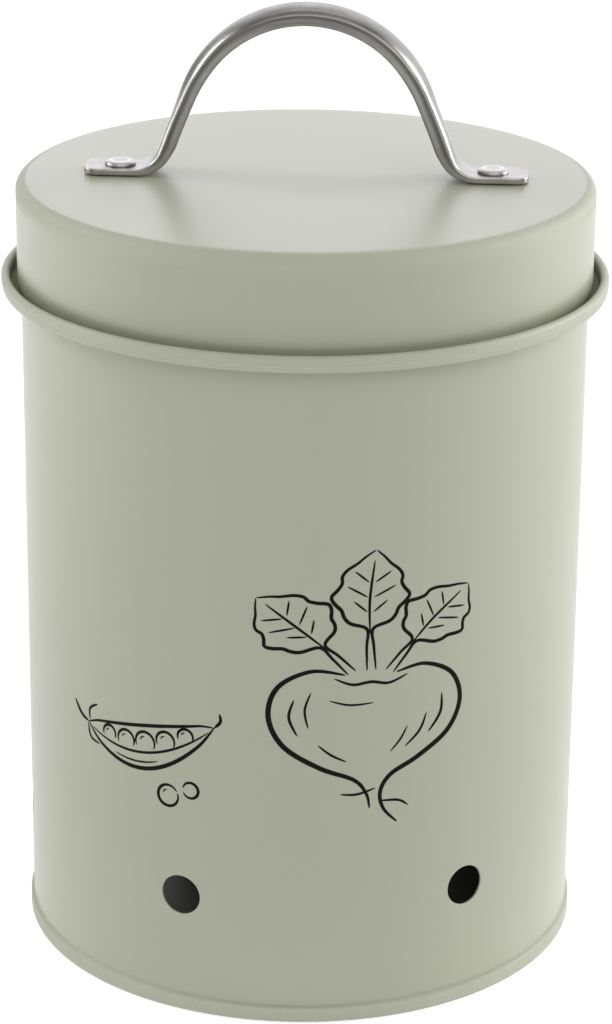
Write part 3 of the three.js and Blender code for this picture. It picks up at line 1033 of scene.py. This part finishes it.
def brush_group():
    """Long fine scratches of a brushed strap. The place is across, along and below the strap."""
    tree = shader_group("brushing", {"Line width": (FLOAT, 0.12), "Line length": (FLOAT, 18.0)}, "Height")
    fine = tree.math("DIVIDE", 1.0, tree.given["Line width"])
    long = tree.math("DIVIDE", 1.0, tree.given["Line length"])
    drawn = tree.vector_math("MULTIPLY", tree.given["Place"], tree.combined(X=fine, Y=long, Z=fine))
    return tree.put_out(noise(tree, 1.0, detail=4.0, roughness=0.65, place=drawn))


class Finish(Nodes):
    """A material that is built round its principled surface."""

    def __init__(self, name, **values):
        self.material = bpy.data.materials.new(name)
        self.material.use_nodes = True
        super().__init__(self.material.node_tree)
        self.surface = self.tree.nodes["Principled BSDF"].inputs
        for label, value in spaced(values).items():
            self.surface[label].default_value = value

    def join(self, label, socket):
        self.tree.links.new(socket, self.surface[label])

    def place(self):
        """The place on the piece, in metres."""
        return self.add("ShaderNodeTexCoord", {})["Object"]

    def place_in_millimetres(self):
        return self.scaled(self.place(), 1 / MM)

    def edge_wear_and_light(self):
        return self.add("ShaderNodeAttribute", {}, attribute_name="worn_and_lit")["Fac"]

    def mixed(self, under, over, share, **settings):
        inputs = {6: under, 7: over, "Factor": share}
        return self.add("ShaderNodeMix", inputs, data_type="RGBA", **settings)[2]

    def tone(self, base, drift, worn_and_lit, mask):
        """The base colour, lighter or darker with the drift, and the colour of rubbing and painted light
        under the mask.
        """
        shift = self.math("ADD", drift, 1.0)
        shade = self.combined(X=shift, Y=shift, Z=shift)
        return self.mixed(self.mixed(base, shade, 1.0, blend_type="MULTIPLY"), worn_and_lit, mask)

    def rough(self, level, drift, mask=None, edge_shift=0.0):
        """A roughness with its drift, which changes by the given edge shift under the mask."""
        value = self.math("ADD", drift, level)
        if mask is None:
            return value
        return self.math("ADD", value, self.math("MULTIPLY", mask, edge_shift), use_clamp=True)

    def bump(self, height, strength, depth):
        inputs = {"Height": height, "Strength": strength, "Distance": depth * MM}
        self.join("Normal", self.add("ShaderNodeBump", inputs)["Normal"])


def sage_coat(grain, drift, wear_and_light):
    """Satin sage-green powder coat, with painted shade in the gutter where its mark is below zero, and
    lighter edges that are partly painted highlight.
    """
    coat = Finish("sage_powder_coat", IOR=1.7)
    place = coat.place_in_millimetres()
    mask = coat.use(wear_and_light, Place=place, Edge=coat.edge_wear_and_light(), Break_up=1.6, Amount=0.22)
    patches = coat.use(drift, Place=place, Patch_size=40.0, Amount=0.03)
    gloss = coat.use(drift, Place=place, Patch_size=30.0, Amount=0.04)
    # Painted shade: the coat is darkened, and roughened, where the mark is below zero
    sunk = coat.math("MULTIPLY", coat.edge_wear_and_light(), -3.0)
    gutter_shade = coat.use(wear_and_light, Place=place, Edge=sunk, Break_up=1.2, Amount=0.9)
    # The lighter colour on the rim face and the base band is painted highlight; on other edges it is coat
    # rubbing through
    unshaded = coat.tone(COAT_GREEN, patches, COAT_RUBBED_AND_HIGHLIT, mask)
    coat.join("Base Color", coat.mixed(unshaded, COAT_GUTTER_SHADE, gutter_shade))
    coat.join("Roughness", coat.rough(coat.rough(0.32, gloss, mask, edge_shift=1.6), gutter_shade))
    coat.bump(coat.use(grain, Place=place, Grain_size=1.1), strength=0.4, depth=0.008)
    return coat.material


def brushed_steel(brushing, drift, wear_and_light):
    """Stainless strap, brushed along its length and smoother on its rounded edges. Where its mark is above
    zero it is lighter, partly from polish and partly as painted highlight, and below zero it is darkened as
    painted shade."""
    steel = Finish("brushed_stainless", Metallic=1.0)
    flat = steel.add("ShaderNodeAttribute", {}, attribute_name="strap_place")["Vector"]
    lines = steel.use(brushing, Place=flat, Line_width=0.35, Line_length=12.0)
    mask = steel.use(wear_and_light, Place=flat, Edge=steel.edge_wear_and_light(), Break_up=4.0, Amount=0.85)
    patches = steel.use(drift, Place=flat, Patch_size=6.0, Amount=0.06)
    streaks = steel.math("ADD", patches, steel.math("MULTIPLY_ADD", lines, 1.0, -0.5))
    # Painted shade where the mark is below zero; the lighter colour under the mask is polish and painted
    # highlight
    painted_shade = steel.math("MULTIPLY", steel.edge_wear_and_light(), -0.8, use_clamp=True)
    polish_and_highlight = steel.tone(STEEL_GREY, streaks, STEEL_POLISHED_AND_HIGHLIT, mask)
    steel.join("Base Color", steel.mixed(polish_and_highlight, STEEL_PAINTED_SHADE, painted_shade))
    steel.join("Roughness", steel.rough(0.38, patches, mask, edge_shift=-0.1))
    steel.bump(lines, strength=0.35, depth=0.02)
    return steel.material


def pressed_aluminium(grain, drift, wear_and_light):
    """Bright rivets with the fine marks of the setting tool."""
    metal = Finish("pressed_aluminium", Metallic=1.0)
    place = metal.place_in_millimetres()
    mask = metal.use(wear_and_light, Place=place, Edge=metal.edge_wear_and_light(), Break_up=1.0, Amount=0.7)
    patches = metal.use(drift, Place=place, Patch_size=2.0, Amount=0.14)
    metal.join("Base Color", metal.tone(ALUMINIUM_GREY, patches, ALUMINIUM_POLISHED, mask))
    metal.join("Roughness", metal.rough(0.36, patches, mask, edge_shift=-0.04))
    metal.bump(metal.use(grain, Place=place, Grain_size=0.35), strength=0.3, depth=0.015)
    return metal.material


def print_ink(grain, drift, wear_and_light):
    """Black printing ink, a little uneven in its tone and gloss."""
    ink = Finish("black_print_ink", Specular_IOR_Level=0.06)
    place = ink.place_in_millimetres()
    patches = ink.use(drift, Place=place, Patch_size=3.0, Amount=0.3)
    mask = ink.use(wear_and_light, Place=place, Edge=1.0, Break_up=0.7, Amount=0.05)
    ink.join("Base Color", ink.tone(INK_BLACK, patches, INK_THIN, mask))
    ink.join("Roughness", ink.rough(0.5, patches))
    ink.bump(ink.use(grain, Place=place, Grain_size=0.3), strength=0.2, depth=0.01)
    return ink.material


def floor_white():
    """A matt white floor that glows far from the object, as a floor does that is lit all over. Close round
    the object's foot it glows as well, painted light that fills the shadow the object would cast there and
    lights the foot of its wall."""
    floor = Finish("studio_floor", Roughness=0.7, Base_Color=FLOOR_WHITE, Emission_Strength=1.0)
    distance = floor.add("ShaderNodeVectorMath", {0: floor.place()}, operation="LENGTH")["Value"]

    def glow(start, end, first, last):
        """A glow that goes from its first to its last strength between two distances, in metres."""
        return floor.add("ShaderNodeMapRange", {
            "Value": distance, "From Min": start, "From Max": end, "To Min": first, "To Max": last,
        }, interpolation_type="SMOOTHSTEP")["Result"]

    # The near glow is painted light round the object's foot
    both = floor.math("ADD", glow(0.6, 2.2, 0.12, 0.9), glow(0.06, 0.14, 0.26, 0.0))
    floor.join("Emission Color", floor.combined(X=both, Y=both, Z=both))
    return floor.material


# Studio

CAMERA_AZIMUTH = -5.46
CAMERA_DISTANCE = 657.9
CAMERA_HEIGHT = 333.6
CAMERA_PITCH = 20.646
CAMERA_YAW = 0.056
CAMERA_ROLL = 0.547
CAMERA_LENS = 117.28
CAMERA_SHIFT = 0.01429
ROOM_GLOW = 0.2
FLOOR_REACH = 6

WHITE = (1, 1, 1)
COOL_WHITE = (0.985, 0.98, 1.055)

# Each light's place, aim, size, power and colour, in metres and watts
LIGHTS = {
    "right_panel": ((1.35, 0.2, 0.5), (0, 0, 0.1), (0.8, 0.9), 15.5, WHITE),
    "left_panel": ((-1.35, 0.0, 0.5), (0, 0, 0.1), (0.8, 0.9), 4.4, WHITE),
    "front_panel": ((0.12, -1.3, 1.1), (0, 0, 0.1), (2.0, 1.2), 13.6, WHITE),
    "top_panel": ((0.0, 0.1, 1.3), (0, 0, 0.1), (1.2, 1.2), 3.2, WHITE),
    "back_panel": ((0.4, 1.5, 0.85), (0, 0, 0.15), (2.6, 1.6), 18.2, COOL_WHITE),
    "floor_panel": ((-0.7, 0.3, 0.6), (-0.7, 0.3, 0), (0.4, 0.4), 4.0, WHITE),
}


def place_camera():
    """The camera where the photograph's camera stood."""
    data = bpy.data.cameras.new("photo_camera")
    data.lens = CAMERA_LENS
    data.shift_y = CAMERA_SHIFT
    data.clip_start, data.clip_end = 0.01, 50
    camera = placed(data, "photo_camera")
    azimuth, yaw, pitch, roll = (
        math.radians(a) for a in (CAMERA_AZIMUTH, CAMERA_YAW, CAMERA_PITCH, CAMERA_ROLL)
    )
    stand = Matrix.Rotation(azimuth, 4, "Z") @ Vector((0, -CAMERA_DISTANCE * MM, CAMERA_HEIGHT * MM))
    camera.matrix_world = (
        Matrix.Translation(stand)
        @ Matrix.Rotation(azimuth - yaw, 4, "Z")
        @ Matrix.Rotation(math.pi / 2 - pitch, 4, "X")
        @ Matrix.Rotation(roll, 4, "Z")
    )
    bpy.context.scene.camera = camera


def light_studio():
    """A dim white room that is white to the camera, and the soft panels."""
    world = bpy.data.worlds.new("white_room")
    bpy.context.scene.world = world
    world.use_nodes = True
    room = Nodes(world.node_tree)
    background = room.tree.nodes["Background"].inputs
    background["Color"].default_value = (1, 1, 1, 1)
    seen = room.add("ShaderNodeLightPath", {})["Is Camera Ray"]
    glow = room.add("ShaderNodeMapRange", {"Value": seen, "To Min": ROOM_GLOW, "To Max": 1.0})["Result"]
    room.tree.links.new(glow, background["Strength"])
    for name, (place, aim, size, power, colour) in LIGHTS.items():
        data = bpy.data.lights.new(name, "AREA")
        data.shape = "RECTANGLE"
        data.size, data.size_y = size
        data.energy = power
        data.color = colour
        light = placed(data, name)
        light.location = place
        light.rotation_euler = (Vector(aim) - Vector(place)).to_track_quat("-Z", "Y").to_euler()


def lay_floor():
    corners = [(x * FLOOR_REACH, y * FLOOR_REACH, 0) for x, y in ((-1, -1), (1, -1), (1, 1), (-1, 1))]
    mesh = bpy.data.meshes.new("studio_floor")
    mesh.from_pydata(corners, [], [(0, 1, 2, 3)])
    mesh.materials.append(floor_white())
    floor = placed(mesh, "studio_floor")


# Making

place_camera()
light_studio()
bpy.context.scene.view_settings.view_transform = "Standard"
lay_floor()

GRAIN, DRIFT, WEAR_AND_LIGHT, BRUSHING = grain_group(), drift_group(), wear_and_light_group(), brush_group()
COAT = sage_coat(GRAIN, DRIFT, WEAR_AND_LIGHT)
STEEL = brushed_steel(BRUSHING, DRIFT, WEAR_AND_LIGHT)
ALUMINIUM = pressed_aluminium(GRAIN, DRIFT, WEAR_AND_LIGHT)
INK = print_ink(GRAIN, DRIFT, WEAR_AND_LIGHT)

TURNED = turned_tree()
PANELS = panel_tree()
STRAP = strap_tree()
RIVETS = rivet_tree(TURNED)
PRINT = print_tree()


def fit(piece, body, slot, *nodes):
    """Puts a piece on its body and hides the nodes that it stands in for. The slot is not used."""
    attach(piece, body)
    if nodes:
        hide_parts(*nodes)


wall = made_by(PANELS, wall_panel(), "vented_wall", Finish=COAT)
fit(wall, "canister", "coated_steel", "body_wall")

seam = placed(outward(wall_seam()), "side_seam")
seam.data.shade_smooth()
seam.data.set_sharp_from_angle(angle=CREASE)
seam.data.materials.append(COAT)
fit(seam, "canister", "coated_steel")

for name, outline, body, node in (
    ("crimped_base", base_outline, "canister", "base_plate"),
    ("collar", collar_outline, "canister", "neck_ring"),
    ("pressed_lid", lid_outline, "lid", "lid_shell"),
):
    turned = made_by(TURNED, profile_mesh(name + "_profile", outline()), name, Finish=COAT)
    fit(turned, body, "coated_steel", node)

line, bend_x = strap_line()
guide = placed(mesh_of("strap_line", [(p.x, 0, p.y, 0) for p in line], chain(len(line))), "strap_line")
handle = made_by(STRAP, strap_blank(line), "strap_handle", Strap_line=guide, Finish=STEEL)
bpy.data.objects.remove(guide)
fit(handle, "lid", "brushed_steel", "handle")

rivets = made_by(
    RIVETS, profile_mesh("rivet_profile", rivet_outline()), "pressed_rivets",
    Reach=(bend_x + RIVET_SET_OUT) * MM, Finish=ALUMINIUM,
)
fit(rivets, "lid", "rivet_metal", "handle_rivet_left", "handle_rivet_right")

for name, lines, angle, height in (
    ("printed_root", root_drawing(), ROOT_ANGLE, ROOT_HEIGHT),
    ("printed_pod", pod_drawing(), POD_ANGLE, POD_HEIGHT),
):
    ink = made_by(
        PRINT, drawing_mesh(name + "_lines", lines), name,
        Centre_angle=math.radians(angle), Centre_height=height * MM, Finish=INK,
    )
    fit(ink, "canister", "coated_steel")
